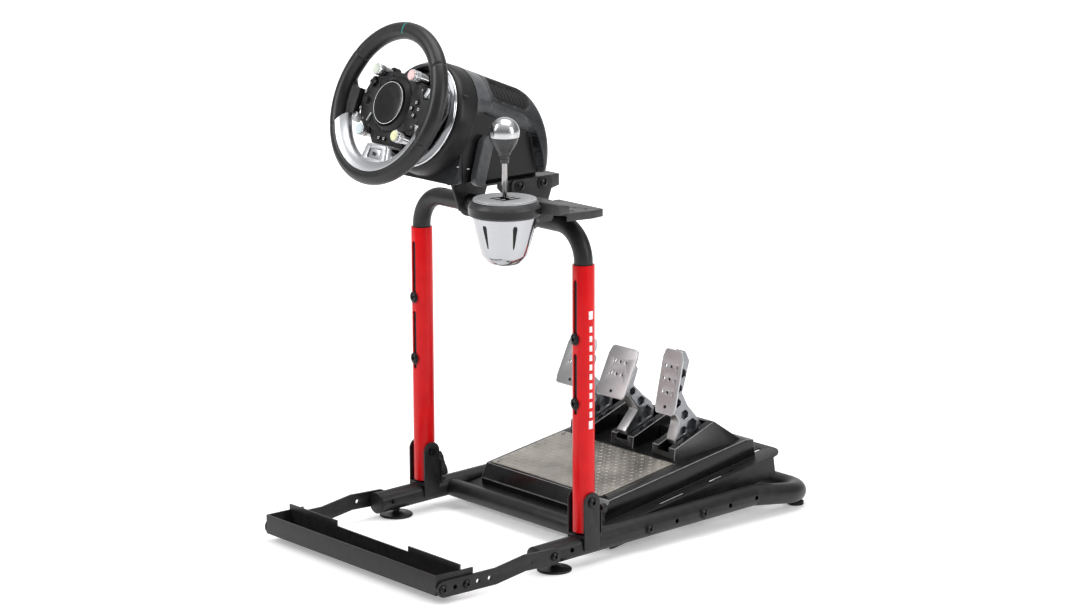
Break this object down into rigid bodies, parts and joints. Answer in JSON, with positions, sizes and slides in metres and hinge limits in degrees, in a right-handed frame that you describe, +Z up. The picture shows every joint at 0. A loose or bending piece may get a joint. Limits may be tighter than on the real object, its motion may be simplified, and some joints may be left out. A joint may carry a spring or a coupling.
{
  "type": "racing wheel rig",
  "caption": "Folding tube stand with a round force-feedback steering wheel and its motor base, a gated ball-knob shifter and a sloped plate of hanging-face floor pedals.",
  "frame": {"origin": "on the floor at the middle of the footprint", "axes": "+X to the driver's right, +Y the way the driver looks (pedals at +Y, chair bar at -Y), +Z up"},
  "size_m": [0.508, 0.9026, 0.925],
  "materials": {
    "frame_black": "satin black powder coat",
    "red_tube": "glossy red enamel",
    "black_plastic": "fine grained black",
    "shell_grey": "satin dark grey",
    "gloss_black": "semi-gloss black",
    "rubber": "matt",
    "steel": "embossed tread",
    "bolt": "black oxide",
    "alu": "brushed and cast",
    "chrome": "polished",
    "leather": "smooth black"
  },
  "bodies": {
    "stand": {"side_rail_left": "frame_black", "side_rail_right": "frame_black", "rear_tube": "frame_black", "cross_tube_front": "frame_black", "rail_end_caps": "black_plastic", "fold_bracket_left": "frame_black", "fold_bracket_right": "frame_black", "levelling_feet": "black_plastic", "rear_feet": "rubber", "frame_bolts": "bolt", "pedal_plate": "frame_black", "pedal_base": "gloss_black", "heel_plate": "steel", "pedal_pins": "steel"},
    "lock_left": {"lock_knob_left": "black_plastic"},
    "lock_right": {"lock_knob_right": "black_plastic"},
    "chair": {"chair_arm_left": "frame_black", "chair_arm_right": "frame_black", "chair_bar": "frame_black", "chair_bar_bolts": "bolt"},
    "clutch": {"clutch_arm": "alu", "clutch_face": "alu"},
    "brake": {"brake_arm": "alu", "brake_face": "alu"},
    "throttle": {"throttle_arm": "alu", "throttle_face": "alu"},
    "uprights": {"upright_left": "red_tube", "upright_right": "red_tube"},
    "upper": {"upper_hoop": "frame_black", "height_bolts": "bolt", "shifter_bracket": "frame_black", "shifter_cup": "chrome", "shifter_collar": "black_plastic", "gate_plate": "steel"},
    "gimbal": {"shifter_gimbal": "steel"},
    "lever": {"shift_lever": "chrome", "shift_knob": "chrome"},
    "wheel_base": {"wheel_plate": "frame_black", "tilt_bolts": "bolt", "base_drum": "black_plastic", "base_shell": "shell_grey", "base_cover": "shell_grey", "vent_grille": "black_plastic", "front_ring": "chrome"},
    "steering": {"wheel_shaft": "steel", "rim_grip": "leather", "spoke_frame": "alu", "hub_housing": "black_plastic", "centre_cap": "black_plastic"},
    "knob_ul": {"encoder_ul": "chrome"},
    "knob_ur": {"encoder_ur": "chrome"},
    "knob_ll": {"encoder_ll": "chrome"},
    "knob_lr": {"encoder_lr": "chrome"},
    "shift_left": {"paddle_left": "alu"},
    "shift_right": {"paddle_right": "alu"},
    "pad": {"dpad": "black_plastic"},
    "key_top": {"button_top": "black_plastic"},
    "key_right": {"button_right": "black_plastic"},
    "key_bottom": {"button_bottom": "black_plastic"},
    "key_left": {"button_left": "black_plastic"}
  },
  "joints": [
    {"name": "chair_bar_fold", "type": "hinge", "parent": "stand", "child": "chair", "pos_m": [0, -0.199, 0.033], "axis": [1, 0, 0], "range_deg": [-80, 0]},
    {"name": "lock_left_turn", "type": "hinge", "parent": "stand", "child": "lock_left", "pos_m": [-0.219, -0.083, 0.078], "axis": [0, 1, 0], "continuous": true},
    {"name": "lock_right_turn", "type": "hinge", "parent": "stand", "child": "lock_right", "pos_m": [0.219, -0.083, 0.078], "axis": [0, 1, 0], "continuous": true},
    {"name": "upright_fold", "type": "hinge", "parent": "stand", "child": "uprights", "pos_m": [0, -0.113, 0.111], "axis": [1, 0, 0], "range_deg": [-70, 0]},
    {"name": "height_slide", "type": "slide", "parent": "uprights", "child": "upper", "axis": [0, 0, 1], "range_m": [-0.002, 0.078]},
    {"name": "wheel_tilt", "type": "hinge", "parent": "upper", "child": "wheel_base", "pos_m": [0, -0.1385, 0.6394], "axis": [1, 0, 0], "range_deg": [-5, 5]},
    {"name": "steering", "type": "hinge", "parent": "wheel_base", "child": "steering", "pos_m": [0, -0.3526, 0.7936], "axis": [0, -0.9317, 0.3633], "range_deg": [-540, 540]},
    {"name": "clutch_press", "type": "hinge", "parent": "stand", "child": "clutch", "pos_m": [0, 0.23082, 0.12724], "axis": [1, 0, 0], "range_deg": [-12, 0], "stiffness_Nm_per_rad": 60, "springref_deg": 6.88},
    {"name": "brake_press", "type": "hinge", "parent": "stand", "child": "brake", "pos_m": [0, 0.23082, 0.12724], "axis": [1, 0, 0], "range_deg": [-9, 0], "stiffness_Nm_per_rad": 160, "springref_deg": 5.73},
    {"name": "throttle_press", "type": "hinge", "parent": "stand", "child": "throttle", "pos_m": [0, 0.23082, 0.12724], "axis": [1, 0, 0], "range_deg": [-14, 0], "stiffness_Nm_per_rad": 30, "springref_deg": 8.59},
    {"name": "shift_across", "type": "hinge", "parent": "upper", "child": "gimbal", "pos_m": [0.18, -0.2515, 0.56], "axis": [0, 1, 0], "range_deg": [-9, 9], "stiffness_Nm_per_rad": 4},
    {"name": "shift_fore_aft", "type": "hinge", "parent": "gimbal", "child": "lever", "pos_m": [0.18, -0.2515, 0.56], "axis": [1, 0, 0], "range_deg": [-11, 11]},
    {"name": "knob_ul_turn", "type": "hinge", "parent": "steering", "child": "knob_ul", "pos_m": [-0.0475, -0.33335, 0.84298], "axis": [0, -0.9317, 0.3633], "continuous": true},
    {"name": "knob_ur_turn", "type": "hinge", "parent": "steering", "child": "knob_ur", "pos_m": [0.0475, -0.33335, 0.84298], "axis": [0, -0.9317, 0.3633], "continuous": true},
    {"name": "knob_ll_turn", "type": "hinge", "parent": "steering", "child": "knob_ll", "pos_m": [-0.0475, -0.37131, 0.74562], "axis": [0, -0.9317, 0.3633], "continuous": true},
    {"name": "knob_lr_turn", "type": "hinge", "parent": "steering", "child": "knob_lr", "pos_m": [0.0475, -0.37131, 0.74562], "axis": [0, -0.9317, 0.3633], "continuous": true},
    {"name": "paddle_left_pull", "type": "hinge", "parent": "steering", "child": "shift_left", "pos_m": [-0.04, -0.30974, 0.77689], "axis": [0, 0.3633, 0.9317], "range_deg": [0, 3], "stiffness_Nm_per_rad": 4, "springref_deg": -4.58},
    {"name": "paddle_right_pull", "type": "hinge", "parent": "steering", "child": "shift_right", "pos_m": [0.04, -0.30974, 0.77689], "axis": [0, -0.3633, -0.9317], "range_deg": [0, 3], "stiffness_Nm_per_rad": 4, "springref_deg": -4.58},
    {"name": "dpad_press", "type": "slide", "parent": "steering", "child": "pad", "axis": [0, 0.9317, -0.3633], "range_m": [0, 0.001], "stiffness_N_per_m": 900, "springref_m": -0.0008},
    {"name": "button_top_press", "type": "slide", "parent": "steering", "child": "key_top", "axis": [0, 0.9317, -0.3633], "range_m": [0, 0.001], "stiffness_N_per_m": 900, "springref_m": -0.0008},
    {"name": "button_right_press", "type": "slide", "parent": "steering", "child": "key_right", "axis": [0, 0.9317, -0.3633], "range_m": [0, 0.001], "stiffness_N_per_m": 900, "springref_m": -0.0008},
    {"name": "button_bottom_press", "type": "slide", "parent": "steering", "child": "key_bottom", "axis": [0, 0.9317, -0.3633], "range_m": [0, 0.001], "stiffness_N_per_m": 900, "springref_m": -0.0008},
    {"name": "button_left_press", "type": "slide", "parent": "steering", "child": "key_left", "axis": [0, 0.9317, -0.3633], "range_m": [0, 0.001], "stiffness_N_per_m": 900, "springref_m": -0.0008}
  ]
}
